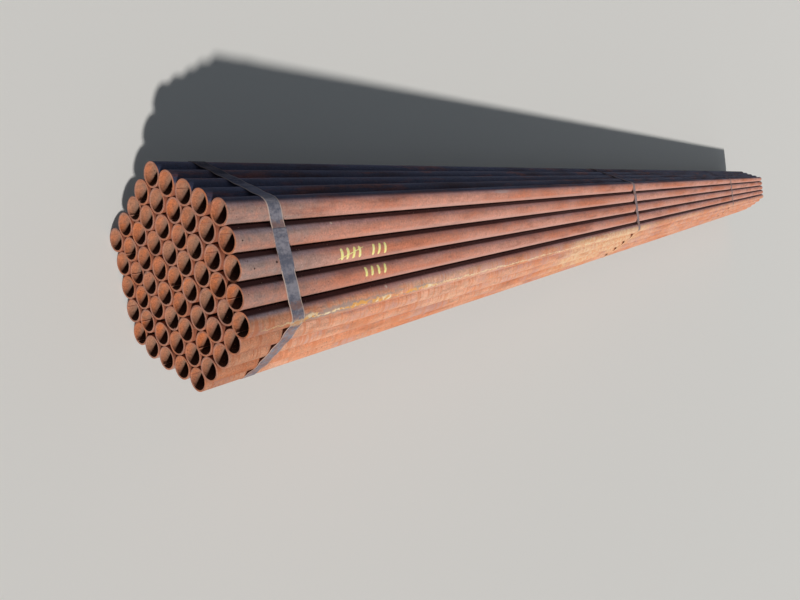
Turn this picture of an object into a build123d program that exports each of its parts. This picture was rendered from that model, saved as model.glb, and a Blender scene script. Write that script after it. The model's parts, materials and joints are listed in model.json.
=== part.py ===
from build123d import *
from math import atan, cos, degrees, sqrt
import os

# Pipe: steel pipe of nominal size 1-1/2 inch and ordinary weight, in 24 foot lengths
pipe_diameter = 48.26
pipe_wall = 3.68
pipe_length = 7315.2

# Stack: six sides with this many pipes along each, every pipe a little clear of the next
pipes_on_a_side = 5
pipe_clearance = 0.3

# Slack: two groups of pipes on the right hand sides lie this far from their left neighbours
slack_gap = 4.4

# Ends: the near end slants across the bundle, and each pipe is 0 to 3 steps out of line with it. The pipes
# of the top layer are further out of line, and from the left each is pushed in this far
end_slant = 0.035
end_step = 0.6
end_most_steps = 3
top_end_shifts = (2.0, 5.5, 4.0, -4.0, -4.0)

# Straps: flat steel bands round the bundle. The first two are placed from the near end, the last one
# from the far end, and the front one runs a little slantwise across the bundle
strap_width = 31.75
strap_thickness = 0.8
strap_clearance = 0.2
front_strap_from_near_end = 105.0
middle_strap_from_near_end = 2330.0
rear_strap_from_far_end = 2155.0
front_strap_slant = 0.055

# Strap joint: the free end laps over the band on top, and pressed slots lock both layers together
lap_length = 76.0
lap_ramp = 12.0
lap_end_ahead = 10.0
slot_count = 3
slot_length = 18.0
slot_width = 2.4
slot_pitch = 5.6
slot_margin = 2.6

# Values that follow from those above
pipe_radius = pipe_diameter / 2
bore_radius = pipe_radius - pipe_wall
pitch = pipe_diameter + pipe_clearance
layer_rise = sqrt(pitch**2 - (pitch / 2) ** 2)
layer_count = 2 * pipes_on_a_side - 1
middle_layer = pipes_on_a_side - 1
first_height = strap_thickness + strap_clearance + pipe_radius
bundle_top = first_height + (layer_count - 1) * layer_rise + pipe_radius + strap_clearance
slack_lift = sqrt(pitch**2 - (pitch / 2 - slack_gap) ** 2) - layer_rise
slack_drop = layer_rise - sqrt(pitch**2 - (pitch / 2 + slack_gap) ** 2)


def pipes_in(layer):
    """The number of pipes in a layer, counted from 0 at the bottom."""
    return layer_count - abs(layer - middle_layer)


def pipe_centre(layer, place):
    """The X and Z of a pipe's axis. Past the last place of a side, a pipe may lie in a slack group."""
    x = (place - (pipes_in(layer) - 1) / 2) * pitch
    z = first_height + layer * layer_rise
    if place >= pipes_on_a_side and layer > middle_layer:
        return x + slack_gap, z + slack_lift
    if place >= pipes_on_a_side and layer < middle_layer - 1:
        return x + slack_gap, z - slack_drop
    return x, z


def end_shift(layer, place):
    """How far a pipe is pushed along the bundle, from the slant and from its own unevenness."""
    x = pipe_centre(layer, place)[0]
    if layer == layer_count - 1:
        return end_slant * x + top_end_shifts[place % len(top_end_shifts)]
    steps = (3 * layer + 5 * place) % (2 * end_most_steps + 1) - end_most_steps
    return end_slant * x + steps * end_step


all_places = [(layer, place) for layer in range(layer_count) for place in range(pipes_in(layer))]
end_shifts = [end_shift(layer, place) for layer, place in all_places]
middle_shift = (min(end_shifts) + max(end_shifts)) / 2
near_end = -pipe_length / 2 - middle_shift


def pipe(layer, place):
    """One pipe: a ring drawn out along Y."""
    x, z = pipe_centre(layer, place)
    far_end = near_end + end_shift(layer, place) + pipe_length
    wall = Circle(pipe_radius) - Circle(bore_radius)
    return extrude(Plane.XZ.offset(-far_end) * Pos(x, z) * wall, pipe_length)


def pipe_layer(layer):
    """The pipes of one layer, as solids that don't touch."""
    return Compound([pipe(layer, place).solid() for place in range(pipes_in(layer))])


def left_turn(a, b, c):
    """Twice the area of a triangle, positive where a to b to c turns left."""
    return (b[0] - a[0]) * (c[1] - a[1]) - (b[1] - a[1]) * (c[0] - a[0])


def outer_pipes():
    """The axes of the pipes that a tight band bends round, in order round the bundle."""
    centres = sorted(pipe_centre(layer, place) for layer, place in all_places)
    least_turn = pitch / 100
    ring = []
    for run in (centres, centres[::-1]):
        side = []
        for centre in run:
            while len(side) > 1 and left_turn(side[-2], side[-1], centre) < least_turn:
                side.pop()
            side.append(centre)
        ring += side[:-1]
    return ring


def band_outline(distance):
    """The face inside a tight band that runs at this distance from the axes of the outer pipes."""
    return offset(make_face(Polyline(*outer_pipes(), close=True)), distance, kind=Kind.ARC)


def strap_lap():
    """The free end on top of the band: square where it ends, and ramped over the hidden end below."""
    left = -pitch - lap_end_ahead
    right = left + lap_length
    band_top = bundle_top + strap_thickness
    corners = [
        (left, bundle_top),
        (left, band_top + strap_thickness),
        (right - lap_ramp, band_top + strap_thickness),
        (right, band_top),
        (right, bundle_top),
    ]
    return make_face(Polyline(*corners, close=True))


def lap_slot(number, slant):
    """The cutter of one slot in the free end. The slots are in a row along the band and lie across it."""
    x = -pitch - lap_end_ahead + slot_margin + slot_width / 2 + number * slot_pitch
    cutter = Box(slot_width, slot_length, 2 * strap_thickness)
    return Pos(x, slant * x, bundle_top + 2 * strap_thickness) * cutter


def strap(slant):
    """One band with its lapped joint, round the bundle at Y = 0, cut from a tight sleeve by two
    planes that lie slantwise. The flat run under the bottom layer is what the bundle rests on."""
    inner = pipe_radius + strap_clearance
    outline = band_outline(inner + strap_thickness) - band_outline(inner) + strap_lap()
    reach = 2 * layer_count * pitch
    sleeve = extrude(Plane.XZ * outline, strap_width + slant * reach, both=True)
    slice_turn = Rot(0, 0, degrees(atan(slant)))
    slice_box = slice_turn * Box(reach, strap_width * cos(atan(slant)), reach)
    return (sleeve & slice_box) - [lap_slot(number, slant) for number in range(slot_count)]


straps = {
    "front": (front_strap_from_near_end, front_strap_slant),
    "middle": (middle_strap_from_near_end, 0),
    "rear": (pipe_length - rear_strap_from_far_end, 0),
}

os.makedirs("parts", exist_ok=True)
for layer in range(layer_count):
    export_step(pipe_layer(layer), f"parts/pipe_layer_{layer + 1}.step")
for name, (place, slant) in straps.items():
    band = Pos(0, near_end + place, 0) * strap(slant)
    export_step(band.solid(), f"parts/strap_{name}.step")
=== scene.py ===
"""A six-sided bundle of rusty steel pipes in three flat straps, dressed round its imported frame."""

import json
import math
import random
from collections import namedtuple

import bmesh
import bpy
from mathutils import Matrix, Vector
from mathutils.geometry import convex_hull_2d
from mathutils.noise import noise


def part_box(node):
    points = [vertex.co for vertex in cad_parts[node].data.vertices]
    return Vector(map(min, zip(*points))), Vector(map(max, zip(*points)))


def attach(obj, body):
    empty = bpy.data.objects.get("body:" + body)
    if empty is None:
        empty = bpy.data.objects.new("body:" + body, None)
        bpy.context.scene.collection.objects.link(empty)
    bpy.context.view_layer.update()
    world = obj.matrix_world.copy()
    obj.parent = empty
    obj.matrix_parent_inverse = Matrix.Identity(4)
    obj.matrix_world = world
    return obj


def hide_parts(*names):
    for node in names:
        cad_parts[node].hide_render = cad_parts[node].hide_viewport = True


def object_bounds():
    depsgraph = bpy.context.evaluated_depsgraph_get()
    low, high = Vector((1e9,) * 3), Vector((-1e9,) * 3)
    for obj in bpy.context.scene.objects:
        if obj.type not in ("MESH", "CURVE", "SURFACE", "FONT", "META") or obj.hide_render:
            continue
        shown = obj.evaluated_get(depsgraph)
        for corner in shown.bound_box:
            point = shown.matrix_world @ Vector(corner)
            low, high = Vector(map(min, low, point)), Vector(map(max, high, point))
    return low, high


bl_info = {
    "name": "Bundle of rusty pipes",
    "version": (1, 0, 0),
    "blender": (4, 5, 0),
    "location": "3D View > Sidebar > Pipe bundle",
    "description": "Rusty pipes, steel straps and tally marks round the bundle's frame",
    "category": "Object",
}

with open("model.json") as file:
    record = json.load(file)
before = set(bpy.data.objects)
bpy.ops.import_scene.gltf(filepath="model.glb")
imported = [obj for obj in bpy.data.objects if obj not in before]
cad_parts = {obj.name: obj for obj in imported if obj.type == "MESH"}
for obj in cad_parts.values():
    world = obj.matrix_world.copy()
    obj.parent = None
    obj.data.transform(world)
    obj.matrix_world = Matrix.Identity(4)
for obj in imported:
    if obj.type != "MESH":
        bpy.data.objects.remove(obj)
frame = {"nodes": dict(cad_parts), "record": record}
cad_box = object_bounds()

MM = 0.001
LAYERS = sorted(name for name in frame["nodes"] if name.startswith("pipe_layer_"))
STRAPS = sorted(name for name in frame["nodes"] if name.startswith("strap_"))
BOTTOM_LAYER, MIDDLE_LAYER, TOP_LAYER = LAYERS[0], LAYERS[len(LAYERS) // 2], LAYERS[-1]

Pipe = namedtuple("Pipe", "x z near far number tone turn")
Row = namedtuple("Row", "end distance radius")
Band = namedtuple("Band", "name middle slant width")
Spot = namedtuple("Spot", "pipe distance angle across along share colour")
Stroke = namedtuple("Stroke", "distance angle length slope seed")


def srgb(red, green, blue):
    """A colour as a screen shows it, 0 to 255 a channel, in the linear values that Blender takes."""
    shares = [channel / 255 for channel in (red, green, blue)]
    return tuple(s / 12.92 if s <= 0.04045 else ((s + 0.055) / 1.055) ** 2.4 for s in shares)


def width_of(node):
    """How wide a CAD node is from side to side."""
    low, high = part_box(node)
    return high.x - low.x


def clamp(value):
    """The value, held between 0 and 1."""
    return min(1.0, max(0.0, value))


# Fixed colours of small specks: pits and pale grains in the rust, a painted glint, bare scratches and thick
# paint
PIT = srgb(48, 26, 24)
CHIP = srgb(244, 226, 212)
PAINTED_GLINT = srgb(206, 186, 186)
RUST_PIT = srgb(60, 38, 34)
RUST_GRAIN = srgb(236, 204, 180)
BORE_PIT = srgb(70, 40, 32)
BORE_GRAIN = srgb(224, 150, 104)
SCRATCH = srgb(160, 162, 168)
THICK_PAINT = srgb(255, 250, 200)
PAINT_PIT = srgb(170, 120, 70)

# Single pits and pale chips that the photo shows on the top pipes, and one painted glint, counted from the
# left from nought
SPOTS = [
    Spot(1, 0.014, 79, 1.8 * MM, 1.8 * MM, 0.9, PIT),
    Spot(2, 0.028, 76, 1.8 * MM, 1.8 * MM, 0.9, PIT),
    Spot(2, 0.079, 89, 2.4 * MM, 2.6 * MM, 0.9, PIT),
    Spot(1, 0.237, 116, 3.0 * MM, 3.4 * MM, 0.8, CHIP),
    Spot(4, 0.378, 112, 4.0 * MM, 4.6 * MM, 0.8, CHIP),
    Spot(0, 0.985, 106, 6.0 * MM, 52 * MM, 0.5, PAINTED_GLINT),
]

# Stretches of the bundle, in metres from its near end: where each starts, is full, fades and has ended
YELLOW_LINE = (0.02, 0.05, 1.8, 2.6)
LINE_HEAPS = (0.08, 0.14, 0.45, 0.7)
GREY_SMEARS = (0.1, 0.14, 0.24, 0.34)
DUST_PATCH = (1.42, 1.62, 2.2, 2.7)
PATCH_CLIMB = (1.46, 1.64, 2.1, 2.3)

# Where the yellow line and the edge of the dust patch run round the top right pipe, in degrees from its
# right side, and how much higher the patch climbs in its middle
LINE_ANGLE = 52.0
PATCH_ANGLE = 62.0
CLIMB_ANGLE = 48.0

# Faces that meet at a larger angle than this show an edge between them
SHARP_ANGLE = math.radians(34)

# Tally strokes: seven short ones and a long one through four of them, and four short ones
THIRD_PIPE_STROKES = [
    Stroke(distance, 77, 25 * MM, (number % 3 - 1) * 3 * MM, number)
    for number, distance in enumerate((0.252, 0.270, 0.289, 0.307, 0.352, 0.372, 0.393))]
THIRD_PIPE_STROKES.append(Stroke(0.280, 77, 19 * MM, 76 * MM, 20))
FOURTH_PIPE_STROKES = [
    Stroke(distance, 90, 21 * MM, (number % 2 - 0.5) * 4 * MM, 30 + number)
    for number, distance in enumerate((0.322, 0.342, 0.364, 0.386))]
TALLIES = {
    "tally_strokes_third_pipe": (2, THIRD_PIPE_STROKES),
    "tally_strokes_fourth_pipe": (3, FOURTH_PIPE_STROKES),
}

# The sun, and the photograph's camera: where it is, where it aims and how far it is rolled
TOWARDS_LIGHT = Vector((0.625, -0.530, 0.573))
LAMP_DISTANCE = 5
SUNLIGHT = (1.0, 0.97, 0.93)
CAMERA_PLACE = Vector((0.01298, -4.29470, 1.20265))
CAMERA_AIM = Vector((0.1515, -2.9930, 0.1930))
CAMERA_ROLL = math.radians(84.28)
SENSOR_WIDTH = 36

# Sizes that the frame gives: the bottom layer is four pitches and a pipe wide, the widest one eight
PITCH = (width_of(MIDDLE_LAYER) - width_of(BOTTOM_LAYER)) / 4
PIPE_DIAMETER = 2 * width_of(BOTTOM_LAYER) - width_of(MIDDLE_LAYER)
PIPE_RADIUS = PIPE_DIAMETER / 2
BORE_RADIUS = next(m["dims"]["r_mm"] * MM for m in frame["record"]["mounts"] if m["kind"] == "bore")
WALL = PIPE_RADIUS - BORE_RADIUS


def points_of(node):
    """The points of a CAD node's mesh."""
    return [vertex.co for vertex in frame["nodes"][node].data.vertices]


def read_pipes(layer):
    """The pipes of one CAD layer from left to right. Each gets a number, tone and turn of its own."""
    dice = random.Random(layer)
    points = sorted(tuple(point) for point in points_of(layer))
    pipes = []
    while points:
        right_side = points[0][0] + (PIPE_DIAMETER + PITCH) / 2
        own = [point for point in points if point[0] < right_side]
        points = points[len(own):]
        low = [min(point[axis] for point in own) for axis in range(3)]
        high = [max(point[axis] for point in own) for axis in range(3)]
        number = dice.uniform(0, 50)
        tone = dice.uniform(-1, 1)
        turn = dice.uniform(0, 2 * math.pi)
        middle = ((low[0] + high[0]) / 2, (low[2] + high[2]) / 2)
        pipes.append(Pipe(*middle, low[1], high[1], number, tone, turn))
    return pipes


PIPES = {layer: read_pipes(layer) for layer in LAYERS}
AXES = [Vector((pipe.x, pipe.z)) for layer in LAYERS for pipe in PIPES[layer]]
BOTTOM_AXIS, MIDDLE_AXIS, TOP_AXIS = (PIPES[layer][0].z for layer in (BOTTOM_LAYER, MIDDLE_LAYER, TOP_LAYER))
NEAR_END = min(pipe.near for pipe in PIPES[TOP_LAYER])

# The straps' thickness shows at the lap, where the top of the bundle is two bands high and the bottom one
STRAP_THICKNESS = (cad_box[1].z - TOP_AXIS) - BOTTOM_AXIS
STRAP_CLEARANCE = BOTTOM_AXIS - PIPE_RADIUS - STRAP_THICKNESS
BAND_INNER = PIPE_RADIUS + STRAP_CLEARANCE
BAND_TOP = TOP_AXIS + BAND_INNER + STRAP_THICKNESS


def round_pipe(pipe, radius, angle, y=0):
    """The point at that radius and angle round a pipe's axis, and at y along the bundle."""
    return (pipe.x + radius * math.cos(angle), y, pipe.z + radius * math.sin(angle))


def band_sides():
    """Each straight side of a tight band, counter-clockwise seen from the near end: the axis of the pipe
    where it starts, and the direction that it faces."""
    ring = [AXES[number] for number in convex_hull_2d(AXES)]
    least_turn = 0.5 * MM * MM
    corners = []
    for before, corner, after in zip(ring[-1:] + ring[:-1], ring, ring[1:] + ring[:1]):
        if (corner - before).cross(after - corner) > least_turn:
            corners.append(corner)
    runs = [(after - corner).normalized() for corner, after in zip(corners, corners[1:] + corners[:1])]
    return [(corner, Vector((run.y, -run.x))) for corner, run in zip(corners, runs)]


SIDES = band_sides()


def read_band(node):
    """One strap's middle, slant and width from its CAD node. The slant is how far it runs along the pipes
    for each metre across them."""
    low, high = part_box(node)
    ends = []
    for side in (low.x, high.x):
        ys = [point.y for point in points_of(node) if abs(point.x - side) < MM]
        ends.append((min(ys) + max(ys)) / 2)
    slant = (ends[1] - ends[0]) / (high.x - low.x)
    return Band(node, (low.y + high.y) / 2, slant, high.y - low.y - abs(slant) * (high.x - low.x))


def tint(name, description, *rgb):
    """A colour that a user can change, given as a screen shows it."""
    return bpy.props.FloatVectorProperty(
        name=name, description=description, default=srgb(*rgb), subtype="COLOR", min=0, max=1)


def setting(name, description, default, **kind):
    """A number that a user can change."""
    return bpy.props.FloatProperty(name=name, description=description, default=default, **kind)


def length(name, description, default):
    """A length that a user can change."""
    return setting(name, description, default, unit="LENGTH", subtype="DISTANCE")


class PipeLook(bpy.types.PropertyGroup):
    """The small shapes of the pipes, which the plain solids leave out."""

    segments: bpy.props.IntProperty(
        name="Segments", description="Flats round one pipe", default=60, min=24, max=120)
    edge_round: length("Edge round", "Radius of the worn edges at a pipe's end", 0.5 * MM)
    cut_waves: length("Cut waves", "Depth of the uneven places in a sawn end", 0.35 * MM)
    cut_lean: length("Cut lean", "How far a sawn end leans across the pipe", 0.6 * MM)
    seam_height: length("Seam height", "Height of the weld seam inside the bore", 1.6 * MM)
    seam_width: length("Seam width", "Width of the weld seam inside the bore", 3.2 * MM)


class RustLook(bpy.types.PropertyGroup):
    """The colours of the pipes."""

    worn_brown: tint("Worn brown", "Thin rust on the top pipes near their sawn ends", 166, 142, 135)
    end_orange: tint("End orange", "Fuller rust on the top pipes near their sawn ends", 186, 128, 108)
    pink_brown: tint("Pink brown", "Thin rust on the top pipes behind the front strap", 212, 154, 136)
    orange_rust: tint("Orange rust", "Fuller rust on the top pipes", 203, 129, 102)
    deep_rust: tint("Deep rust", "Dark red rust in blotches", 138, 82, 66)
    flank_pink: tint("Flank pink", "Pale rust on the right flank", 234, 182, 154)
    flank_orange: tint("Flank orange", "Bright rust on the right flank", 226, 150, 112)
    flank_mauve: tint("Flank mauve", "Patches of cooler rust on the right flank", 206, 162, 154)
    # This pink is a painted sheen: the grazing sky reflection on the right sides of the top pipes.
    painted_side_sheen: tint("Side pink", "Paler rust on the right sides of the top pipes", 226, 186, 176)
    # Slate and slate rust are partly the left flank's mill scale and rust, and partly painted shade: dark
    # and blue for the sky light in its shade.
    slate: tint("Slate", "Bare mill scale on the left flank", 66, 72, 98)
    slate_rust: tint("Slate rust", "Dark rust that breaks through the mill scale", 64, 54, 64)
    # This crevice colour is painted shade: dark between the pipes and on their lower left sides, away from
    # the sun.
    crevice_shade: tint("Crevice", "Dark rust between the pipes and on their lower left sides", 50, 20, 22)
    # This end colour is partly red rust and partly painted shade on the outsides between the sawn ends.
    end_rust_and_shade: tint("End rust", "Red rust on the outsides that show between the sawn ends", 152, 84, 56)
    line_pale: tint("Pale line", "Pale dust in the line on the top right pipe", 250, 230, 190)
    line_orange: tint("Orange line", "Orange dust in the line on the top right pipe", 238, 172, 88)
    line_grey: tint("Grey smear", "Grey smear beside the line on the top right pipe", 160, 150, 144)
    dust: tint("Dust", "Tan dust on the right flank", 242, 190, 146)
    bore_mouth: tint("Bore mouth", "Fuller rust just inside a pipe's end", 194, 120, 84)
    bore_pale: tint("Pale bore rust", "Thinner rust just inside a pipe's end", 182, 130, 104)
    # The grey band runs along the lit side of the painted shade in a bore.
    bore_grey: tint("Grey bore band", "Greyer rust where the dark of a bore starts", 138, 114, 100)
    bore_fire: tint("Fresh bore rust", "Fresh orange rust in some of the bores", 210, 118, 66)
    bore_deep: tint("Bore depth", "Greyer rust further into a pipe", 160, 124, 104)
    # This dark colour is painted shade, where the sun doesn't reach in a bore.
    bore_painted_shade: tint("Dark bore", "Dark rust deep in a bore and on its upper right", 46, 24, 20)
    rim: tint("Rim", "Sawn faces at the pipes' ends", 186, 136, 118)


class StrapLook(bpy.types.PropertyGroup):
    """The sizes and colours of the straps."""

    edge_round: length("Edge round", "Radius of a band's edges", 0.25 * MM)
    sag: length("Sag", "How far a band dips between two pipes", 1.1 * MM)
    blue_grey: tint("Blue grey", "Blued steel of a band", 146, 143, 152)
    dark_patch: tint("Dark patch", "Darker places in the blued steel", 99, 101, 115)
    worn_edge: tint("Worn edge", "Pale rusty edges of a band", 214, 190, 176)
    rust_patch: tint("Rust patch", "Rust beside the lapped joint and at the right bend", 156, 116, 102)


class MarkLook(bpy.types.PropertyGroup):
    """The tally strokes on two of the top pipes."""

    stroke_width: length("Stroke width", "Width of one paint stroke", 7.5 * MM)
    paint_depth: length("Paint depth", "Thickness of the paint", 0.2 * MM)
    yellow: tint("Yellow", "Colour of the paint", 252, 242, 146)


class StageLook(bpy.types.PropertyGroup):
    """The floor, the light and the camera."""

    key_strength: setting("Key strength", "Strength of the sun lamp", 3.1, min=0)
    key_softness: setting(
        "Key softness", "How wide the sun lamp looks from the bundle", math.radians(2.5),
        subtype="ANGLE", unit="ROTATION")
    fill_strength: setting("Fill strength", "Light from all round, where 1 is white", 0.12, min=0)
    fill_tint: bpy.props.FloatVectorProperty(
        name="Fill tint", description="Colour of the light from all round",
        default=(0.8, 0.9, 1.0), subtype="COLOR", min=0, max=1)
    floor_colour: tint("Floor", "Colour of the plain floor as the camera sees it", 240, 239, 236)
    floor_glow: tint("Floor glow", "Colour of the light that the floor throws back", 150, 146, 140)
    floor_reach: length("Floor reach", "How far the floor runs from the bundle", 60)
    lens: setting("Lens", "Focal length on a 36 mm sensor", 27.05, unit="CAMERA")


class Net:
    """Adds nodes to one node tree and joins them."""

    def __init__(self, tree):
        self.tree = tree

    def add(self, kind, inputs=None, **settings):
        node = self.tree.nodes.new(kind)
        for name, value in settings.items():
            setattr(node, name, value)
        for name, value in (inputs or {}).items():
            self.feed(node.inputs[name], value)
        return node

    def feed(self, socket, value):
        """Joins a node's output to a socket, or sets a plain number or colour on the socket itself."""
        if isinstance(value, bpy.types.NodeSocket):
            self.tree.links.new(value, socket)
        elif socket.type == "RGBA":
            socket.default_value = (*value[:3], 1)
        else:
            socket.default_value = value

    def place(self):
        """Where a point lies in the bundle."""
        return self.add("ShaderNodeTexCoord").outputs["Object"]

    def mark(self, name):
        """The value of that name that the mesh's points carry."""
        return self.add("ShaderNodeAttribute", attribute_name=name).outputs["Fac"]

    def noise(self, vector, scale, detail, roughness, stretch=None):
        """Cloudy values about a half. A stretch below 1 draws them out along its axis."""
        if stretch:
            vector = self.scaled(vector, stretch)
        inputs = {"Vector": vector, "Scale": scale, "Detail": detail, "Roughness": roughness}
        return self.add("ShaderNodeTexNoise", inputs).outputs["Fac"]

    def maths(self, operation, *values):
        return self.add("ShaderNodeMath", dict(enumerate(values)), operation=operation).outputs[0]

    def times(self, *values):
        """The product of all the values."""
        product = values[0]
        for value in values[1:]:
            product = self.maths("MULTIPLY", product, value)
        return product

    def total(self, *values):
        """The sum of all the values."""
        result = values[0]
        for value in values[1:]:
            result = self.maths("ADD", result, value)
        return result

    def rise(self, value, slope, start):
        """The start, and so many times the value on top of it."""
        return self.maths("MULTIPLY_ADD", value, slope, start)

    def swing(self, value, reach):
        """A cloudy value about a half, as one about nought that is this many times larger."""
        return self.rise(value, reach, -reach / 2)

    def rest(self, value):
        """What the value leaves of 1."""
        return self.maths("SUBTRACT", 1.0, value)

    def most(self, first, second):
        """The larger of two values."""
        return self.maths("MAXIMUM", first, second)

    def vector(self, operation, *values):
        """A vector sum, except that LENGTH and DOT_PRODUCT give a number."""
        node = self.add("ShaderNodeVectorMath", dict(enumerate(values)), operation=operation)
        return node.outputs["Value" if operation in ("LENGTH", "DOT_PRODUCT") else "Vector"]

    def scaled(self, vector, factors):
        """A vector or colour with each of its three parts multiplied."""
        return self.vector("MULTIPLY", vector, factors)

    def smooth(self, value, low, high):
        """0 at low, 1 at high and a soft step between them, whichever is the larger."""
        inputs = {"Value": value, "From Min": low, "From Max": high}
        return self.add("ShaderNodeMapRange", inputs, interpolation_type="SMOOTHSTEP").outputs["Result"]

    def mix(self, share, first, second):
        """The first colour where share is 0, and the second where it is 1."""
        return self.add("ShaderNodeMix", {0: share, 6: first, 7: second}, data_type="RGBA").outputs[2]

    def lay(self, under, over, *shares):
        """The first colour with the second over it, as thick as the product of the shares."""
        return self.mix(self.times(*shares), under, over)

    def parts(self, vector):
        return self.add("ShaderNodeSeparateXYZ", {0: vector}).outputs

    def across(self, x, z):
        """A vector straight across the bundle."""
        return self.add("ShaderNodeCombineXYZ", {0: x, 1: 0.0, 2: z}).outputs[0]

    def group(self, name, inputs):
        """The outputs of a shared group, which is built the first time that it is asked for."""
        if name not in bpy.data.node_groups:
            build_group(name)
        return self.add("ShaderNodeGroup", inputs, node_tree=bpy.data.node_groups[name]).outputs


def rust_bloom(net, given, out):
    """Rust that has spread in clouds over a thinner rust, with dark blotches in it."""
    clouds = net.swing(net.noise(given["Drawn out"], 15, 4, 0.6), 2.6)
    streaks = net.swing(net.noise(given["Drawn out"], 120, 3, 0.6), 1)
    patches = net.swing(net.noise(given["Even"], 62, 5, 0.66), 1)
    crumbs = net.swing(net.noise(given["Even"], 300, 4, 0.7), 1)
    spread = net.total(clouds, net.times(patches, 0.8), net.times(crumbs, 0.15), given["Cover"])
    cover = net.smooth(spread, 0.1, 0.9)
    blotch = net.smooth(net.noise(given["Drawn out"], 24, 6, 0.7), 0.5, 0.7)
    colour = net.mix(cover, given["Thin"], given["Full"])
    colour = net.lay(colour, given["Blotch"], blotch, given["Blotches"])
    shade = net.total(1.0, net.times(crumbs, 1.2), net.times(patches, 0.7), net.times(streaks, 0.7))
    height = net.total(net.times(cover, 0.2), net.times(crumbs, 1.6), net.times(patches, 0.5))
    net.feed(out["Color"], net.scaled(colour, shade))
    net.feed(out["Height"], height)
    net.feed(out["Cover"], cover)


def fine_grain(net, given, out):
    """Small pits and pale grains."""
    cells = net.add("ShaderNodeTexVoronoi", {"Vector": given["Even"], "Scale": given["Fineness"]}).outputs
    near = net.smooth(cells["Distance"], 0.32, 0.12)
    chosen = net.add("ShaderNodeSeparateColor", {0: cells["Color"]}).outputs
    pits = net.times(near, net.smooth(chosen["Red"], 0.86, 0.97))
    grains = net.times(near, net.smooth(chosen["Green"], 0.86, 0.97))
    net.feed(out["Pits"], pits)
    net.feed(out["Grains"], grains)
    net.feed(out["Height"], net.maths("SUBTRACT", grains, pits))


def dust_film(net, given, out):
    """Dust that lies in broken clouds. Amount is how much of the surface it covers."""
    clouds = net.noise(given["Drawn out"], 26, 6, 0.68)
    crumbs = net.noise(given["Even"], 260, 3, 0.6)
    spread = net.total(net.rise(crumbs, 0.35, clouds), given["Amount"])
    net.feed(out["Dust"], net.smooth(spread, 1.12, 1.42))


SOCKETS = {"number": "NodeSocketFloat", "colour": "NodeSocketColor", "vector": "NodeSocketVector"}
GROUPS = {
    "rust_bloom": (
        rust_bloom,
        {"Drawn out": "vector", "Even": "vector", "Thin": "colour", "Full": "colour",
         "Blotch": "colour", "Cover": "number", "Blotches": "number"},
        {"Color": "colour", "Height": "number", "Cover": "number"}),
    "fine_grain": (
        fine_grain,
        {"Even": "vector", "Fineness": "number"},
        {"Pits": "number", "Grains": "number", "Height": "number"}),
    "dust_film": (
        dust_film,
        {"Drawn out": "vector", "Even": "vector", "Amount": "number"},
        {"Dust": "number"}),
}


def build_group(name):
    """Makes a shared node group with its named inputs and outputs."""
    fill, inputs, outputs = GROUPS[name]
    tree = bpy.data.node_groups.new(name, "ShaderNodeTree")
    for side, sockets in (("INPUT", inputs), ("OUTPUT", outputs)):
        for label, kind in sockets.items():
            tree.interface.new_socket(name=label, in_out=side, socket_type=SOCKETS[kind])
    net = Net(tree)
    fill(net, net.add("NodeGroupInput").outputs, net.add("NodeGroupOutput").inputs)


def material_for(name, fill, *looks):
    """The material of that name, which is made the first time that it is asked for."""
    if name not in bpy.data.materials:
        material = bpy.data.materials.new(name)
        material.use_nodes = True
        material.node_tree.nodes.clear()
        fill(Net(material.node_tree), *looks)
    return bpy.data.materials[name]


def finish(net, colour, rough, specular, height=None, depth=0.0, metallic=0.0):
    """Ends a material with its one shader. The height is a relief that is this many metres deep."""
    shader = net.add("ShaderNodeBsdfPrincipled", {
        "Base Color": colour, "Roughness": rough, "Specular IOR Level": specular, "Metallic": metallic})
    if height is not None:
        relief = net.add("ShaderNodeBump", {"Height": height, "Distance": depth, "Strength": 1.0})
        net.feed(shader.inputs["Normal"], relief.outputs["Normal"])
    net.add("ShaderNodeOutputMaterial", {"Surface": shader.outputs[0]})


def pipe_coordinates(net):
    """A point's place in the bundle, and the same place moved far off by its pipe's number, so that no two
    pipes share a pattern."""
    place = net.place()
    offset = net.mark("pipe_number")
    return place, net.vector("ADD", place, net.across(offset, net.times(offset, 0.37)))


def flank_reach(net, place, side):
    """How far out a point is from the axes of the outer pipes on an upper flank, where side is 1 on the
    right and -1 on the left."""
    lean = math.radians(30)
    outward = Vector((side * math.cos(lean), 0, math.sin(lean)))
    plane = abs(outward.x) * 4 * PITCH + outward.z * MIDDLE_AXIS
    return net.maths("SUBTRACT", net.vector("DOT_PRODUCT", place, outward), plane)


def left_flank(net, place):
    """1 on the left flank. On the top pipe there it starts a little to the left of the crest."""
    out = net.smooth(flank_reach(net, place, -1), 2 * MM, 12 * MM)
    crest = PIPES[TOP_LAYER][0].x
    return net.times(out, net.smooth(net.parts(place)["X"], crest - 6 * MM, crest - 17 * MM))


def behind(net, place, start, end):
    """0 in front of the start and 1 behind the end, both measured in metres from the near end."""
    return net.smooth(net.parts(place)["Y"], NEAR_END + start, NEAR_END + end)


def within(net, place, stretch):
    """1 inside a stretch of the bundle and 0 outside it, with soft ends."""
    start, full, fading, ended = stretch
    return net.times(behind(net, place, start, full), behind(net, place, ended, fading))


def top_right_turn(net, place):
    """The angle of a point round the top right pipe, in degrees from its right side towards its crest, and
    1 on that pipe but 0 on its neighbours."""
    pipe = PIPES[TOP_LAYER][-1]
    around = net.parts(net.vector("SUBTRACT", place, (pipe.x, 0, pipe.z)))
    turn = net.maths("ARCTAN2", around["Z"], around["X"])
    out = net.vector("LENGTH", net.across(around["X"], around["Z"]))
    own = net.smooth(out, PIPE_RADIUS + 0.6 * MM, PIPE_RADIUS + 0.3 * MM)
    return net.times(turn, math.degrees(1)), own


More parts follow.
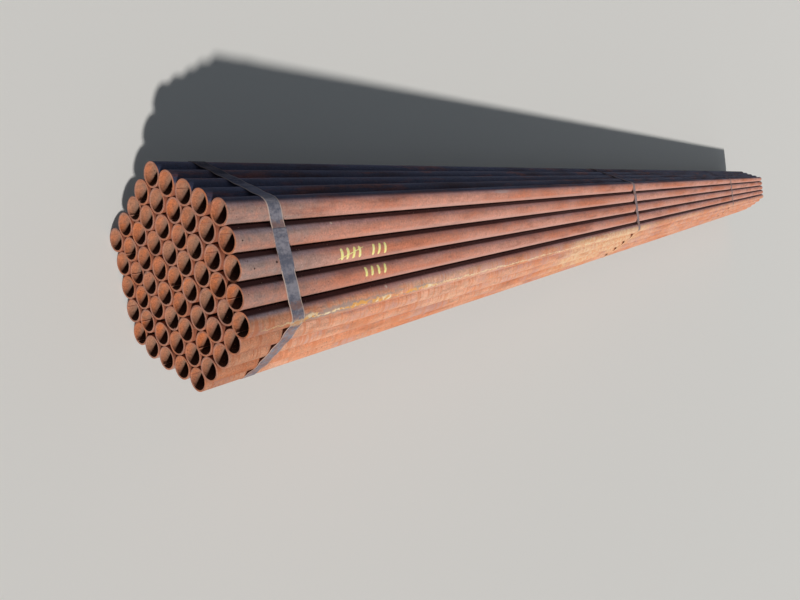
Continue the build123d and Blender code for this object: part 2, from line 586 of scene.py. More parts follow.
def dust_line(net, place, even, turn, own):
    """A ragged line of yellow dust on the top right pipe, along the near third of the bundle, the bare grey
    places beside it, and where it lies in heaps, behind the front strap."""
    wander = net.swing(net.noise(even, 1, 4, 0.65, (0, 6, 0)), 36)
    ragged = net.swing(net.noise(even, 75, 5, 0.72), 60)
    off = net.total(turn, wander, ragged, -LINE_ANGLE)
    heap = within(net, place, LINE_HEAPS)
    spots = net.smooth(net.noise(even, 45, 4, 0.6, (1, 0.5, 1)), 0.44, 0.56)
    width = net.total(4.2, net.times(heap, spots, 12.0))
    line = net.smooth(net.maths("DIVIDE", net.maths("ABSOLUTE", off), width), 1.2, 0.6)
    gaps = net.smooth(net.noise(even, 34, 4, 0.6), 0.36, 0.44)
    side = net.maths("ABSOLUTE", net.total(off, -5.0))
    near_line = net.smooth(net.maths("DIVIDE", side, net.rise(heap, 20.0, 7.0)), 1.1, 0.5)
    clouds = net.noise(even, 34, 5, 0.7, (1, 0.4, 1))
    smeared = net.smooth(net.rise(within(net, place, GREY_SMEARS), 0.1, clouds), 0.42, 0.52)
    here = net.times(within(net, place, YELLOW_LINE), own)
    grey = net.times(near_line, smeared, here, net.rise(heap, 0.75, 0.25))
    return net.times(line, gaps, here), grey, heap


def dust_patch(net, place, even, turn, own, right):
    """Where tan dust lies thick on the right flank, from a fifth of the way along to behind the middle
    strap. Its upper edge climbs over the crest of the top right pipe."""
    climb = net.times(within(net, place, PATCH_CLIMB), CLIMB_ANGLE)
    ragged = net.swing(net.noise(even, 40, 5, 0.7), 70)
    below = net.smooth(net.total(turn, ragged, net.times(climb, -1.0), -PATCH_ANGLE), 9, -9)
    upper = net.smooth(net.parts(place)["Z"], MIDDLE_AXIS + 30 * MM, MIDDLE_AXIS + 80 * MM)
    flank = net.times(right, net.rise(upper, 0.7, 0.3))
    return net.times(within(net, place, DUST_PATCH), net.most(net.times(below, own), flank))


def in_spot(net, place, spot):
    """How thick one spot on a top pipe lies: its share in the middle, and nought outside it."""
    pipe = PIPES[TOP_LAYER][spot.pipe]
    middle = round_pipe(pipe, PIPE_RADIUS, math.radians(spot.angle), pipe.near + spot.distance)
    away = net.vector("SUBTRACT", place, middle)
    away = net.scaled(away, (1 / spot.across, 1 / spot.along, 1 / spot.across))
    ragged = net.swing(net.noise(place, 240, 4, 0.7), 1.4)
    return net.times(net.smooth(net.total(net.vector("LENGTH", away), ragged), 1.1, 0.6), spot.share)


def dusted(net, look, colour, coordinates, right):
    """The colour of the outside under the dust on the right flank and the line on the top right pipe."""
    place, even, drawn_out = coordinates
    turn, own = top_right_turn(net, place)
    patch = dust_patch(net, place, even, turn, own, right)
    amount = net.total(0.1, net.times(right, 0.3), net.times(patch, 0.3))
    film = net.group("dust_film", {"Drawn out": drawn_out, "Even": even, "Amount": amount})["Dust"]
    colour = net.lay(colour, look.dust, film, 0.6)
    crust = net.smooth(net.noise(even, 64, 5, 0.7, (1, 0.7, 1)), 0.44, 0.6)
    colour = net.lay(colour, look.line_pale, crust, patch, 0.5)
    line, grey, heap = dust_line(net, place, even, turn, own)
    colour = net.lay(colour, look.line_grey, grey, 0.72)
    hue = net.times(net.smooth(net.noise(even, 46, 4, 0.7), 0.4, 0.54), net.rise(heap, 0.75, 0.25))
    return net.lay(colour, net.mix(hue, look.line_pale, look.line_orange), line, 0.85)


def weathered(net, look, colour, place, left, right):
    """The colour of the outside with what each pipe's sides add: darker on the right flank by the end and
    low down, a painted cool sky reflection on the left sides, a painted sheen on the right sides of the top
    row, red rust with painted shade between the sawn ends, and painted shade where the sun doesn't reach,
    between the pipes and on their lower left sides."""
    lower_left = net.mark("lower_left")
    inner = net.smooth(net.mark("open_reach"), 11 * MM, 1 * MM)
    by_end = behind(net, place, 0.14, 0.05)
    past_end = net.rest(by_end)
    height = net.parts(place)["Z"]

    darker = net.scaled(colour, (0.64, 0.57, 0.52))
    colour = net.lay(colour, darker, right, behind(net, place, 0.2, 0.07))
    low = net.smooth(height, MIDDLE_AXIS + 12 * MM, MIDDLE_AXIS - 2 * MM)
    colour = net.lay(colour, net.scaled(colour, (0.78, 0.74, 0.8)), right, low)
    # Painted sky reflection: the shaded lower left sides are tinted cooler and bluer.
    painted_sky_tint = net.scaled(colour, (0.96, 1.06, 1.32))
    colour = net.lay(colour, painted_sky_tint, net.smooth(lower_left, 0.12, 0.34), net.rest(net.most(left, inner)))
    # Painted sheen: the right sides of the top pipes, away from the ends, are painted paler.
    painted_sheen = net.smooth(net.mark("to_right"), 0.5, 0.88)
    on_top = net.times(net.rest(right), net.rest(left))
    colour = net.lay(colour, look.painted_side_sheen, painted_sheen, on_top, behind(net, place, 0.15, 0.5), 0.5)
    # Red rust and painted shade on the outsides that show between the sawn ends.
    colour = net.lay(colour, look.end_rust_and_shade, inner, by_end, 0.85)
    # Painted shade: dark on the lower left sides, away from the sun, and on the outsides between the pipes
    # behind the ends.
    top_row = net.smooth(height, TOP_AXIS - 4 * MM, TOP_AXIS + 4 * MM)
    painted_lee_shade = net.times(net.smooth(lower_left, 0.34, 0.47), net.rest(left), net.most(past_end, top_row))
    return net.lay(colour, look.crevice_shade, net.most(painted_lee_shade, net.times(inner, past_end)), 0.96)


def pipe_outside(net, look):
    """Rust on the outside: brown on top, orange on the right flank and thin over slate on the left, where
    the dark blue slate is partly painted shade.
    """
    place, even = pipe_coordinates(net)
    drawn_out = net.scaled(even, (1, 0.16, 1))
    right = net.smooth(flank_reach(net, place, 1), 0, 12 * MM)
    left = left_flank(net, place)
    back = behind(net, place, 0.1, 0.3)
    thin = net.mix(back, look.worn_brown, look.pink_brown)
    # The left flank's slate colours are partly painted shade.
    thin = net.mix(left, net.mix(right, thin, look.flank_pink), look.slate)
    full = net.mix(back, look.end_orange, look.orange_rust)
    full = net.mix(left, net.mix(right, full, look.flank_orange), look.slate_rust)
    cover = net.total(0.26, net.times(net.mark("pipe_tone"), 0.1), net.times(back, 0.12))
    cover = net.total(cover, net.times(right, 0.12), net.times(left, -0.06))
    bloom = net.group("rust_bloom", {
        "Drawn out": drawn_out, "Even": even, "Thin": thin, "Full": full, "Blotch": look.deep_rust,
        "Cover": cover, "Blotches": 0.55})

    mauve = net.smooth(net.noise(even, 19, 5, 0.65, (1, 0.4, 1)), 0.48, 0.62)
    colour = net.lay(bloom["Color"], look.flank_mauve, mauve, right, 0.6)
    ticks = net.smooth(net.noise(even, 1, 3, 0.6, (14, 130, 14)), 0.5, 0.62)
    colour = net.lay(colour, net.scaled(full, (0.93, 0.86, 0.82)), ticks, net.rise(right, 0.45, 0.2))
    colour = dusted(net, look, colour, (place, even, drawn_out), right)
    colour = weathered(net, look, colour, place, left, right)
    grain = net.group("fine_grain", {"Even": even, "Fineness": 190.0})
    colour = net.lay(colour, RUST_PIT, grain["Pits"], 0.6)
    colour = net.lay(colour, RUST_GRAIN, grain["Grains"], net.rise(left, -0.32, 0.4))
    for spot in SPOTS:
        colour = net.lay(colour, spot.colour, in_spot(net, place, spot))

    rough = net.rise(left, 0.06, net.rise(bloom["Cover"], 0.14, 0.74))
    finish(net, colour, rough, 0.14, net.total(bloom["Height"], grain["Height"]), 0.5 * MM)


def pipe_rim(net, look):
    """The sawn ring at a pipe's end: rust over fine saw lines."""
    even = pipe_coordinates(net)[1]
    bloom = net.group("rust_bloom", {
        "Drawn out": even, "Even": even, "Thin": look.rim, "Full": look.bore_mouth,
        "Blotch": look.deep_rust, "Cover": 0.4, "Blotches": 0.6})
    lines = net.noise(even, 1, 2, 0.5, (60, 1, 1500))
    height = net.rise(lines, 0.5, bloom["Height"])
    finish(net, bloom["Color"], net.rise(lines, 0.2, 0.66), 0.2, height, 0.35 * MM)


def pipe_bore(net, look):
    """The inside of a pipe: orange at the mouth, greyer further in, then dark with painted shade. The lit
    rust reaches deepest on the lower left, and past it and on the upper right a painted shade makes the bore
    dark from the start."""
    even = pipe_coordinates(net)[1]
    depth = net.mark("bore_depth")
    tone = net.mark("pipe_tone")
    cloud = net.noise(even, 60, 4, 0.6)
    inward = net.smooth(net.rise(cloud, 14 * MM, depth), 12 * MM, 30 * MM)
    thin = net.mix(inward, look.bore_pale, look.bore_deep)
    full = net.lay(look.bore_mouth, look.bore_deep, inward, 0.7)
    fresh = net.smooth(tone, 0.35, 0.9)
    full = net.lay(full, look.bore_fire, fresh, net.smooth(cloud, 0.4, 0.6), 0.6)
    bloom = net.group("rust_bloom", {
        "Drawn out": even, "Even": even, "Thin": thin, "Full": full, "Blotch": look.orange_rust,
        "Cover": net.rise(tone, 0.25, 0.56), "Blotches": 0.6})

    # Painted shade: past the depth that the sun reaches, which is deepest on the lower left, the bore is
    # painted dark, with a greyer band just before it.
    sunlit_depth = net.times(net.total(net.mark("lower_left"), -0.5), 2.5 * BORE_RADIUS)
    past_sunlit_depth = net.maths("SUBTRACT", depth, sunlit_depth)
    band = net.smooth(net.rise(cloud, 6 * MM, past_sunlit_depth), -9 * MM, 3 * MM)
    colour = net.lay(bloom["Color"], look.bore_grey, band, 0.6)
    colour = net.lay(colour, look.bore_painted_shade, net.smooth(past_sunlit_depth, 0, 3 * MM), 0.9)
    # Painted highlight: the weld seam is painted paler, so that it shows as a lit line in the dark of a
    # bore.
    colour = net.lay(colour, look.rim, net.smooth(net.mark("weld_bead"), 0.3, 0.8), 0.55)
    grain = net.group("fine_grain", {"Even": even, "Fineness": 240.0})
    colour = net.lay(colour, BORE_PIT, grain["Pits"], 0.7)
    colour = net.lay(colour, BORE_GRAIN, grain["Grains"], 0.6)
    height = net.rise(grain["Height"], 1.2, bloom["Height"])
    finish(net, colour, net.rise(bloom["Cover"], 0.1, 0.8), 0.12, height, 0.8 * MM)


def strap_steel(net, look, rust):
    """Blued strapping: grey in lighter and darker lengths, pale where the edges wear, with rust beside the
    joint and at the right bend. It is dull and has painted shade on the left flank, darker and bluer there
    and darker still further down, and it is dusty on the right flank behind."""
    place = net.place()
    x = net.parts(place)["X"]
    lengths = net.noise(place, 1, 4, 0.6, (40, 14, 40))
    mottle = net.noise(place, 170, 4, 0.65, (1, 0.6, 1))
    ragged = net.noise(place, 110, 5, 0.7)
    tarnish = net.smooth(net.total(lengths, net.swing(mottle, 0.9)), 0.3, 0.7)
    colour = net.mix(tarnish, look.blue_grey, look.dark_patch)
    scratches = net.noise(place, 1, 2, 0.5, (16, 1100, 16))
    colour = net.lay(colour, SCRATCH, net.smooth(scratches, 0.55, 0.75), 0.3)
    rusty = net.smooth(net.total(net.mark("rusting"), net.swing(ragged, 2.6)), 0.3, 0.9)
    colour = net.lay(colour, look.rust_patch, rusty, 0.6)
    yellow = net.mix(net.smooth(mottle, 0.42, 0.58), rust.line_orange, rust.line_pale)
    yellowed = net.smooth(net.total(net.mark("dusty"), net.swing(ragged, 2.8)), 0.4, 1.1)
    colour = net.lay(colour, yellow, yellowed, 0.8)
    edge = net.smooth(net.rise(ragged, 0.7, net.mark("edge_wear")), 0.85, 1.2)
    colour = net.lay(colour, look.worn_edge, edge, 0.85)
    grain = net.group("fine_grain", {"Even": place, "Fineness": 260.0})
    colour = net.lay(colour, look.worn_edge, grain["Grains"], 0.25)
    colour = net.lay(colour, look.rust_patch, grain["Pits"], 0.35)
    film = net.group("dust_film", {"Drawn out": place, "Even": place, "Amount": 0.1})["Dust"]
    colour = net.lay(colour, rust.dust, film, 0.3)

    back = behind(net, place, 1.0, 2.0)
    bend = net.smooth(x, 1.9 * PITCH, 2.3 * PITCH)
    browned = net.times(bend, net.smooth(ragged, 0.4, 0.56), 0.6)
    colour = net.lay(colour, look.rust_patch, net.most(browned, net.times(back, 0.42)))
    colour = net.lay(colour, rust.dust, back, net.smooth(x, 2.3 * PITCH, 2.5 * PITCH), 0.85)
    # Painted shade: the strap is darker and bluer on the shaded left flank, and darker still lower down.
    left = net.smooth(x, -2.2 * PITCH, -2.6 * PITCH)
    colour = net.lay(colour, net.scaled(colour, (0.74, 0.82, 1.02)), left)
    low = net.smooth(x, -2.8 * PITCH, -4.1 * PITCH)
    colour = net.lay(colour, net.scaled(colour, (0.36, 0.33, 0.32)), low)
    metallic = net.times(net.rest(net.most(net.most(edge, rusty), left)), 0.2)
    rough = net.rise(left, 0.3, net.rise(lengths, 0.16, 0.5))
    finish(net, colour, rough, 0.05, net.rise(scratches, 0.5, grain["Height"]), 0.12 * MM, metallic)


def tally_paint(net, look):
    """Yellow paint-stick, thin and streaky, with the rust showing through in specks."""
    place = net.place()
    streaks = net.noise(place, 320, 4, 0.6)
    colour = net.mix(net.smooth(streaks, 0.45, 0.7), look.yellow, THICK_PAINT)
    grain = net.group("fine_grain", {"Even": place, "Fineness": 420.0})
    colour = net.lay(colour, PAINT_PIT, grain["Pits"], 0.7)
    finish(net, colour, net.rise(streaks, 0.2, 0.55), 0.5, streaks, 0.2 * MM)


def seen_rays(net):
    """1 for the rays that show the stage: straight from the camera, through glass or off gloss."""
    rays = net.add("ShaderNodeLightPath").outputs
    return net.most(net.most(rays["Is Camera Ray"], rays["Is Transmission Ray"]), rays["Is Glossy Ray"])


def stage_floor(net, look):
    """Plain pale floor, which throws less light back at the bundle than it shows."""
    finish(net, net.mix(seen_rays(net), look.floor_glow, look.floor_colour), 0.9, 0.2)


def outward_faces(mesh):
    """Turns the faces over if they point into the solid."""
    shape = bmesh.new()
    shape.from_mesh(mesh)
    if shape.calc_volume(signed=True) < 0:
        bmesh.ops.reverse_faces(shape, faces=shape.faces)
        shape.to_mesh(mesh)
    shape.free()


def put(name, data):
    """A new object in the scene."""
    made = bpy.data.objects.new(name, data)
    bpy.context.scene.collection.objects.link(made)
    return made


class Shape:
    """The points, faces and marks of one piece while it is made."""

    def __init__(self):
        self.points = []
        self.faces = []
        self.kinds = []
        self.marks = {}

    def add_point(self, point, **marks):
        self.points.append(point)
        for name, value in marks.items():
            self.marks.setdefault(name, []).append(value)
        return len(self.points) - 1

    def add_face(self, corners, kind=0):
        self.faces.append(corners)
        self.kinds.append(kind)

    def add_tube(self, rows, kind_of=None, capped=False):
        """Faces between rows of points. Each row is a ring, and the rows make a ring too, or a rod with
        two caps."""
        followers = rows[1:] if capped else rows[1:] + rows[:1]
        for number, (row, following) in enumerate(zip(rows, followers)):
            kind = kind_of(number) if kind_of else 0
            for place, corner in enumerate(row):
                beside = (place + 1) % len(row)
                self.add_face((corner, following[place], following[beside], row[beside]), kind)
        if capped:
            self.add_face(rows[0])
            self.add_face(rows[-1][::-1])

    def make(self, name, materials, nodes=()):
        """The finished piece, on the bundle's body and with the given materials."""
        mesh = bpy.data.meshes.new(name)
        mesh.from_pydata(self.points, [], self.faces)
        for material in materials:
            mesh.materials.append(material)
        mesh.polygons.foreach_set("material_index", self.kinds)
        for mark, values in self.marks.items():
            mesh.attributes.new(mark, "FLOAT", "POINT").data.foreach_set("value", values)
        outward_faces(mesh)
        mesh.shade_smooth()
        mesh.set_sharp_from_angle(angle=SHARP_ANGLE)
        if mesh.validate(verbose=True):
            raise RuntimeError(f"{name} has broken faces")
        piece = put(name, mesh)
        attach(piece, "root")
        if nodes:
            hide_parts(*nodes)


def rounded(radius, *angles):
    """Points round an edge of that radius: how far each lies in from the one face and from the other."""
    turns = [math.radians(angle) for angle in angles]
    return [(radius * (1 - math.sin(turn)), radius * (1 - math.cos(turn))) for turn in turns]


def end_rows(look):
    """The rows of one half of a pipe's wall: in from the outside, over the sawn edge and into the bore."""
    edge = look.edge_round
    beside = edge + 0.4 * MM
    outside = [2.6, 1.5, 0.7, 0.25, 0.08, 0.025, 0.006, beside]
    inside = [beside, 0.002, 0.004, 0.007, 0.011, 0.016, 0.022, 0.03, 0.045, 0.08, 0.2, 0.6, 1.5, 2.6]
    bend = rounded(edge, 0, 30, 60, 90)
    rows = [(distance, PIPE_RADIUS) for distance in outside]
    rows += [(distance, PIPE_RADIUS - inset) for distance, inset in bend]
    rows += [(0, PIPE_RADIUS - beside), (0, (PIPE_RADIUS + BORE_RADIUS) / 2), (0, BORE_RADIUS + beside)]
    rows += [(distance, BORE_RADIUS + inset) for distance, inset in reversed(bend)]
    return rows + [(distance, BORE_RADIUS) for distance in inside]


def ring_angles(segments, turn, seam):
    """The angles round a pipe, with a few more up to the seam's reach on both sides of its turn."""
    step = 2 * math.pi / segments
    angles = [turn + step * number for number in range(segments)]
    angles += [turn + share * seam for share in (-1.0, -0.6, -0.3, 0.3, 0.6, 1.0)]
    return sorted(angle % (2 * math.pi) for angle in angles)


def reach_outward(pipe, angle):
    """How far outside the ring of the outer pipes' axes a point on a pipe's outside lies, or below nought
    inside that ring."""
    x, _, z = round_pipe(pipe, PIPE_RADIUS, angle)
    return max((Vector((x, z)) - corner).dot(outward) for corner, outward in SIDES)


def add_pipe(shape, pipe, look):
    """One pipe with worn, slightly uneven sawn ends and the weld seam inside its bore."""
    half = end_rows(look)
    rows = [Row(0, *row) for row in half] + [Row(1, *row) for row in reversed(half)]
    seam = look.seam_width / 2 / BORE_RADIUS
    angles = ring_angles(look.segments, pipe.turn, seam)
    fade = 4 * MM
    reaches = [reach_outward(pipe, angle) for angle in angles]
    rings = []
    for row in rows:
        ring = []
        inside = clamp((PIPE_RADIUS - row.radius) / WALL)
        waver = 1 + 0.3 * noise(Vector((pipe.number, row.distance * 60, row.end)))
        for angle, open_reach in zip(angles, reaches):
            away = abs((angle - pipe.turn + math.pi) % (2 * math.pi) - math.pi)
            bead = math.cos(math.pi / 2 * min(1.0, away / seam)) ** 2
            radius = row.radius - look.seam_height * bead * waver * inside ** 4
            ripple = noise(Vector((2.2 * math.cos(angle), 2.2 * math.sin(angle), pipe.number + 9 * row.end)))
            lean = (1 + math.cos(angle - 3 * pipe.turn - row.end)) / 2
            recess = look.cut_waves * (0.5 + 0.5 * ripple) + look.cut_lean * lean * abs(pipe.tone)
            distance = row.distance + recess * max(0.0, 1 - row.distance / fade)
            y = pipe.far - distance if row.end else pipe.near + distance
            ring.append(shape.add_point(
                round_pipe(pipe, radius, angle, y),
                pipe_number=pipe.number, pipe_tone=pipe.tone, bore_depth=row.distance,
                lower_left=(1 - math.cos(angle - math.radians(45))) / 2, to_right=math.cos(angle),
                open_reach=open_reach, weld_bead=bead * inside))
        rings.append(ring)

    def kind_of(number):
        """0 for the outside, 1 for the sawn end with its edges, and 2 for the bore."""
        near = 0.01 * MM
        radii = (rows[number].radius, rows[(number + 1) % len(rows)].radius)
        if min(radii) > PIPE_RADIUS - near:
            return 0
        return 2 if max(radii) < BORE_RADIUS + near else 1

    shape.add_tube(rings, kind_of)


def band_route():
    """Points along the outer axes with the outward direction at each, once round the bundle."""
    arc_step = math.radians(6)
    run_step = 5 * MM
    route = []
    for number, (corner, side) in enumerate(SIDES):
        before = SIDES[number - 1][1]
        after = SIDES[(number + 1) % len(SIDES)][0]
        turn = math.asin(max(-1.0, min(1.0, before.cross(side))))
        steps = max(1, math.ceil(turn / arc_step))
        for step in range(steps + 1):
            direction = before.copy()
            direction.rotate(Matrix.Rotation(turn * step / steps, 2))
            route.append((corner, direction))
        steps = math.ceil((after - corner).length / run_step)
        route += [(corner.lerp(after, step / steps), side) for step in range(1, steps)]
    return route


def dip(point, look):
    """How far a band dips at a point of its inner face: not at all on a pipe, and most between two."""
    full_gap = 8 * MM
    gap = min((point - axis).length for axis in AXES) - PIPE_RADIUS
    share = clamp((gap - 2 * STRAP_CLEARANCE) / full_gap)
    return look.sag * share * share * (3 - 2 * share)


def band_section(width, look):
    """A band's rounded section: across the band, up from its inner face, and the wear there."""
    edge = look.edge_round
    half = width / 2
    wear_reach = 4.5 * MM
    columns = [half - edge, half - 1.4 * MM, half - 4 * MM, half / 3]
    columns += [-column for column in reversed(columns)]
    bend = [(inset - half, up) for inset, up in rounded(edge, 30, 60)]
    section = []
    for column in columns:
        inward = max(0.0, half - abs(column) - edge)
        section.append((column, STRAP_THICKNESS, max(0.0, 1.0 - inward / wear_reach)))
    section += [(across, STRAP_THICKNESS - up, 1.0) for across, up in bend]
    section += [(-half, STRAP_THICKNESS - edge, 1.0), (-half, edge, 1.0)]
    section += [(across, up, 1.0) for across, up in reversed(bend)]
    return section + [(-across, STRAP_THICKNESS - up, wear) for across, up, wear in section]


def lap_edges(node):
    """What the CAD lap gives: its free end, where its ramp starts, its right end, and the two sides of each
    slot."""
    points = points_of(node)
    high = max(point.z for point in points)
    near = 0.1 * MM
    top = [point.x for point in points if high - point.z < near]
    step = [point.x for point in points if abs(high - STRAP_THICKNESS - point.z) < near]
    sides = sorted({round(x, 5) for x in step if min(top) < x < 0})
    return min(top), max(top), max(x for x in step if abs(x) < PITCH), list(zip(sides[::2], sides[1::2]))


def add_plate(shape, columns, rows, kept, bottom, top, **marks):
    """A closed plate of cells. kept says which cells are solid, and bottom and top give the two faces."""
    corners = {}

    def corner(column, row, upper):
        key = (column, row, upper)
        if key not in corners:
            surface = top if upper else bottom
            corners[key] = shape.add_point(surface(columns[column], rows[row]), **marks)
        return corners[key]

    cells = {(c, r) for c in range(len(columns) - 1) for r in range(len(rows) - 1) if kept(c, r)}
    for c, r in cells:
        loop = [(c, r), (c + 1, r), (c + 1, r + 1), (c, r + 1)]
        shape.add_face([corner(*place, True) for place in loop])
        shape.add_face([corner(*place, False) for place in reversed(loop)])
        neighbours = [(c, r - 1), (c + 1, r), (c, r + 1), (c - 1, r)]
        for side, neighbour in enumerate(neighbours):
            if neighbour not in cells:
                start = loop[side]
                end = loop[(side + 1) % 4]
                lower = (corner(*start, False), corner(*end, False))
                shape.add_face((*lower, corner(*end, True), corner(*start, True)))


def add_lap(shape, band, look):
    """The band's free end on top: a slotted plate over the band, with a tongue pressed down in each slot."""
    left, ramp, right, slots = lap_edges(band.name)
    slot_half = 9 * MM
    edge_strip = 1.4 * MM
    sunk = 0.1 * MM
    tongue_gap = 1 * MM
    tongue_play = 0.3 * MM
    tongue_thickness = 0.5 * MM
    steps = 18
    evenly = {left + (right - left) * step / steps for step in range(steps + 1)}
    columns = sorted(evenly.union({ramp}, *slots))
    half = band.width / 2
    rows = [-half, -half + edge_strip, -slot_half, 0, slot_half, half - edge_strip, half]

    def kept(c, r):
        middle = (columns[c] + columns[c + 1]) / 2
        in_slot = any(first < middle < last for first, last in slots)
        return not (in_slot and abs(rows[r] + rows[r + 1]) < 2 * slot_half)

    def surface(height):
        def at(x, across):
            fall = dip(Vector((x, TOP_AXIS + BAND_INNER)), look)
            return (x, band.middle + band.slant * x + across, BAND_TOP - fall + height(x))
        return at

    def upper(x):
        return STRAP_THICKNESS * min(1.0, max(0.02, (right - x) / (right - ramp)))

    def tongue(first, last, thickness):
        def lean(x):
            return STRAP_THICKNESS * (0.9 - 0.75 * (x - first) / (last - first)) - thickness
        return surface(lean)

    marks = {"edge_wear": 0.35, "rusting": 0.1, "dusty": 0.0}
    add_plate(shape, columns, rows, kept, surface(lambda x: -sunk), surface(upper), **marks)
    across = [-slot_half + tongue_gap, 0, slot_half - tongue_gap]
    for first, last in slots:
        wide = [first, (first + last) / 2, last - tongue_play]
        faces = [tongue(first, last, thickness) for thickness in (tongue_thickness, 0)]
        add_plate(shape, wide, across, lambda c, r: True, *faces, **marks)


def near_to(value, middle):
    """1 in the middle, about a third at the reach, and next to nothing at twice that."""
    reach = 9 * MM
    return math.exp(-((value - middle) / reach) ** 2)


def add_band(shape, band, look):
    """One tight band round the bundle. It runs slantwise where its CAD solid does."""
    section = band_section(band.width, look)
    rings = []
    rusty_places = (lap_edges(band.name)[0] - 6 * MM, 1.72 * PITCH)
    dusty_place = 2.36 * PITCH
    for axis, direction in band_route():
        ring = []
        inner = axis + direction * BAND_INNER
        fall = dip(inner, look)
        on_top = axis.y > TOP_AXIS - PITCH / 2 and direction.y > 0.9
        rusting = max(near_to(inner.x, x) for x in rusty_places) if on_top else 0
        dusty = near_to(inner.x, dusty_place) if inner.y > TOP_AXIS + PIPE_RADIUS / 3 else 0
        for across, up, wear in section:
            point = inner + direction * (up - fall)
            place = (point.x, band.middle + band.slant * point.x + across, point.y)
            ring.append(shape.add_point(place, edge_wear=wear, rusting=rusting, dusty=dusty))
        rings.append(ring)
    shape.add_tube(rings)


def add_stroke(shape, pipe, stroke, look):
    """One paint stroke on a pipe's outside, at a distance from its near end and an angle from its right
    side. Its length runs round the pipe, and slope is how far it also runs along."""
    steps = 18
    profile = {-1: 0.1, -0.6: 0.85, 0: 1.0, 0.6: 0.85, 1: 0.1}
    sunk = PIPE_RADIUS - 0.15 * MM
    sway = 1.2 * MM
    rows = []
    for step in range(steps + 1):
        share = step / steps
        taper = min(1.0, 0.45 + 5 * min(share, 1 - share))
        wobble = noise(Vector((stroke.seed, share * 4, 3))) * sway
        turn = math.radians(stroke.angle) + (share - 0.5) * stroke.length / PIPE_RADIUS
        middle = pipe.near + stroke.distance + stroke.slope * (share - 0.5)
        upper = []
        for across, height in profile.items():
            ragged = 1 + 0.35 * noise(Vector((stroke.seed + 7 * across, share * 14, 0)))
            side = across * look.stroke_width / 2 * taper * ragged
            upper.append((middle + side + wobble, PIPE_RADIUS + look.paint_depth * height))
        lower = [(y, sunk) for y, _ in reversed(upper)]
        rows.append([shape.add_point(round_pipe(pipe, radius, turn, y)) for y, radius in upper + lower])
    shape.add_tube(rows, capped=True)


class BUNDLE_OT_pipes(bpy.types.Operator):
    """Make the pipes, one piece for each layer of the bundle"""

    bl_idname = "bundle.pipes"
    bl_label = "Make the pipes"

    def execute(self, context):
        look = context.scene.bundle_pipes
        rust = context.scene.bundle_rust
        finishes = [
            material_for("pipe_outside_rust", pipe_outside, rust),
            material_for("pipe_rim_sawn", pipe_rim, rust),
            material_for("pipe_bore_rust", pipe_bore, rust),
        ]
        for layer in LAYERS:
            shape = Shape()
            for pipe in PIPES[layer]:
                add_pipe(shape, pipe, look)
            shape.make(layer.replace("pipe_layer", "rusty_pipes"), finishes, [layer])
        return {"FINISHED"}


class BUNDLE_OT_straps(bpy.types.Operator):
    """Make the three steel straps with their lapped joints"""

    bl_idname = "bundle.straps"
    bl_label = "Make the straps"

    def execute(self, context):
        look = context.scene.bundle_straps
        steel = material_for("strap_blued_steel", strap_steel, look, context.scene.bundle_rust)
        for band in map(read_band, STRAPS):
            shape = Shape()
            add_band(shape, band, look)
            add_lap(shape, band, look)
            shape.make(band.name.replace("strap", "steel_strap"), [steel], [band.name])
        return {"FINISHED"}


class BUNDLE_OT_marks(bpy.types.Operator):
    """Make the yellow tally strokes on two of the top pipes"""

    bl_idname = "bundle.marks"
    bl_label = "Make the tally strokes"

    def execute(self, context):
        look = context.scene.bundle_marks
        paint = material_for("tally_paint_yellow", tally_paint, look)
        for name, (place, strokes) in TALLIES.items():
            shape = Shape()
            for stroke in strokes:
                add_stroke(shape, PIPES[TOP_LAYER][place], stroke, look)
            shape.make(name, [paint])
        return {"FINISHED"}


class BUNDLE_OT_stage(bpy.types.Operator):
    """Make the floor, the light and the camera"""

    bl_idname = "bundle.stage"
    bl_label = "Set the stage"

    def execute(self, context):
        look = context.scene.bundle_stage
        make_floor(look)
        make_key_light(look)
        make_world(look)
        make_camera(look)
        context.scene.view_settings.view_transform = "Standard"
        return {"FINISHED"}


def make_floor(look):
    """A plain floor under the bundle, large enough for a view from any side."""
    reach = look.floor_reach
    corners = [(-reach, -reach, 0), (reach, -reach, 0), (reach, reach, 0), (-reach, reach, 0)]
    mesh = bpy.data.meshes.new("floor")
    mesh.from_pydata(corners, [], [(0, 1, 2, 3)])
    mesh.materials.append(material_for("plain_floor", stage_floor, look))
    put("floor", mesh)


def make_key_light(look):
    """A soft sun from the right of the near end, a third of the way up."""
    lamp = bpy.data.lights.new("key_light", "SUN")
    lamp.energy = look.key_strength
    lamp.angle = look.key_softness
    lamp.color = SUNLIGHT
    light = put("key_light", lamp)
    light.rotation_euler = TOWARDS_LIGHT.to_track_quat("Z", "Y").to_euler()
    light.location = TOWARDS_LIGHT * LAMP_DISTANCE


def make_world(look):
    """Soft light from all round, and a white background for the camera and for gloss."""
    world = bpy.data.worlds.new("studio")
    world.use_nodes = True
    world.node_tree.nodes.clear()
    net = Net(world.node_tree)
    fill = net.add("ShaderNodeBackground", {"Color": look.fill_tint, "Strength": look.fill_strength})
    white = net.add("ShaderNodeBackground", {"Color": (1, 1, 1), "Strength": 1.0})
    both = net.add("ShaderNodeMixShader", {0: seen_rays(net), 1: fill.outputs[0], 2: white.outputs[0]})
    net.add("ShaderNodeOutputWorld", {"Surface": both.outputs[0]})
    bpy.context.scene.world = world


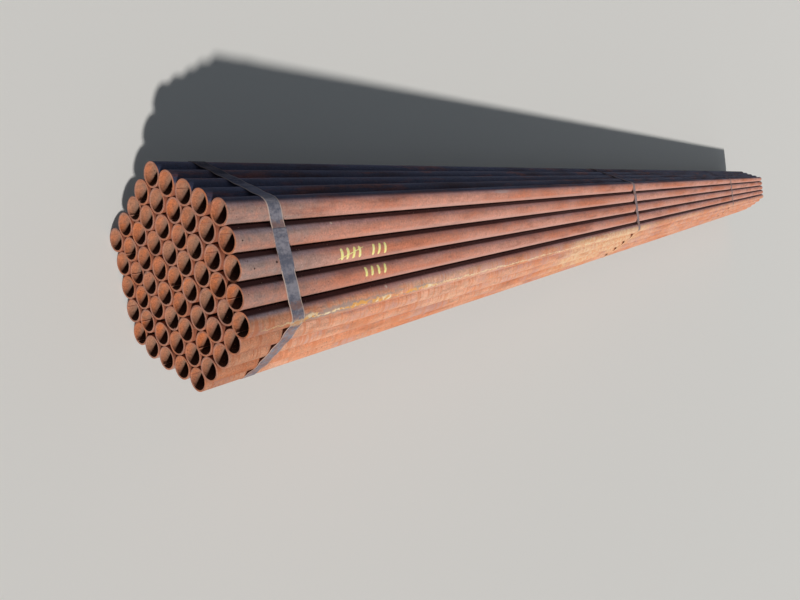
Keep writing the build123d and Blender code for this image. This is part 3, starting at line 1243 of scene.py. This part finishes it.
def make_camera(look):
    """The photograph's camera: above the near end, held upright, so that the picture lies on its side."""
    lens = bpy.data.cameras.new("camera")
    lens.sensor_width = SENSOR_WIDTH
    lens.lens = look.lens
    lens.clip_start = 0.05
    lens.clip_end = 300
    forward = (CAMERA_AIM - CAMERA_PLACE).normalized()
    level = forward.cross(Vector((0, 0, 1))).normalized()
    upward = level.cross(forward)
    right = math.cos(CAMERA_ROLL) * level + math.sin(CAMERA_ROLL) * upward
    up = -math.sin(CAMERA_ROLL) * level + math.cos(CAMERA_ROLL) * upward
    turned = Matrix((right, up, -forward)).transposed().to_4x4()
    camera = put("camera", lens)
    camera.matrix_world = Matrix.Translation(CAMERA_PLACE) @ turned
    bpy.context.scene.camera = camera


class BUNDLE_PT_panel(bpy.types.Panel):
    """The bundle's tools and settings in the 3D view's sidebar"""

    bl_idname = "BUNDLE_PT_panel"
    bl_label = "Pipe bundle"
    bl_space_type = "VIEW_3D"
    bl_region_type = "UI"
    bl_category = "Pipe bundle"

    def draw(self, context):
        for operator, settings in TOOLS.items():
            box = self.layout.box()
            box.operator(operator)
            for name in settings:
                group = getattr(context.scene, name)
                for field in group.bl_rna.properties.keys():
                    if field not in ("rna_type", "name"):
                        box.prop(group, field)


TOOLS = {
    "bundle.pipes": ["bundle_pipes", "bundle_rust"],
    "bundle.straps": ["bundle_straps"],
    "bundle.marks": ["bundle_marks"],
    "bundle.stage": ["bundle_stage"],
}
SETTINGS = {
    "bundle_pipes": PipeLook,
    "bundle_rust": RustLook,
    "bundle_straps": StrapLook,
    "bundle_marks": MarkLook,
    "bundle_stage": StageLook,
}
OPERATORS = [BUNDLE_OT_pipes, BUNDLE_OT_straps, BUNDLE_OT_marks, BUNDLE_OT_stage]
CLASSES = [*SETTINGS.values(), *OPERATORS, BUNDLE_PT_panel]


def register():
    for known in CLASSES:
        bpy.utils.register_class(known)
    for name, group in SETTINGS.items():
        setattr(bpy.types.Scene, name, bpy.props.PointerProperty(type=group))


def unregister():
    for name in SETTINGS:
        delattr(bpy.types.Scene, name)
    for known in reversed(CLASSES):
        bpy.utils.unregister_class(known)


def main():
    """Makes every piece and the stage."""
    register()
    bpy.ops.bundle.pipes()
    bpy.ops.bundle.straps()
    bpy.ops.bundle.marks()
    bpy.ops.bundle.stage()
    bpy.context.view_layer.update()


if __name__ == "__main__":
    main()
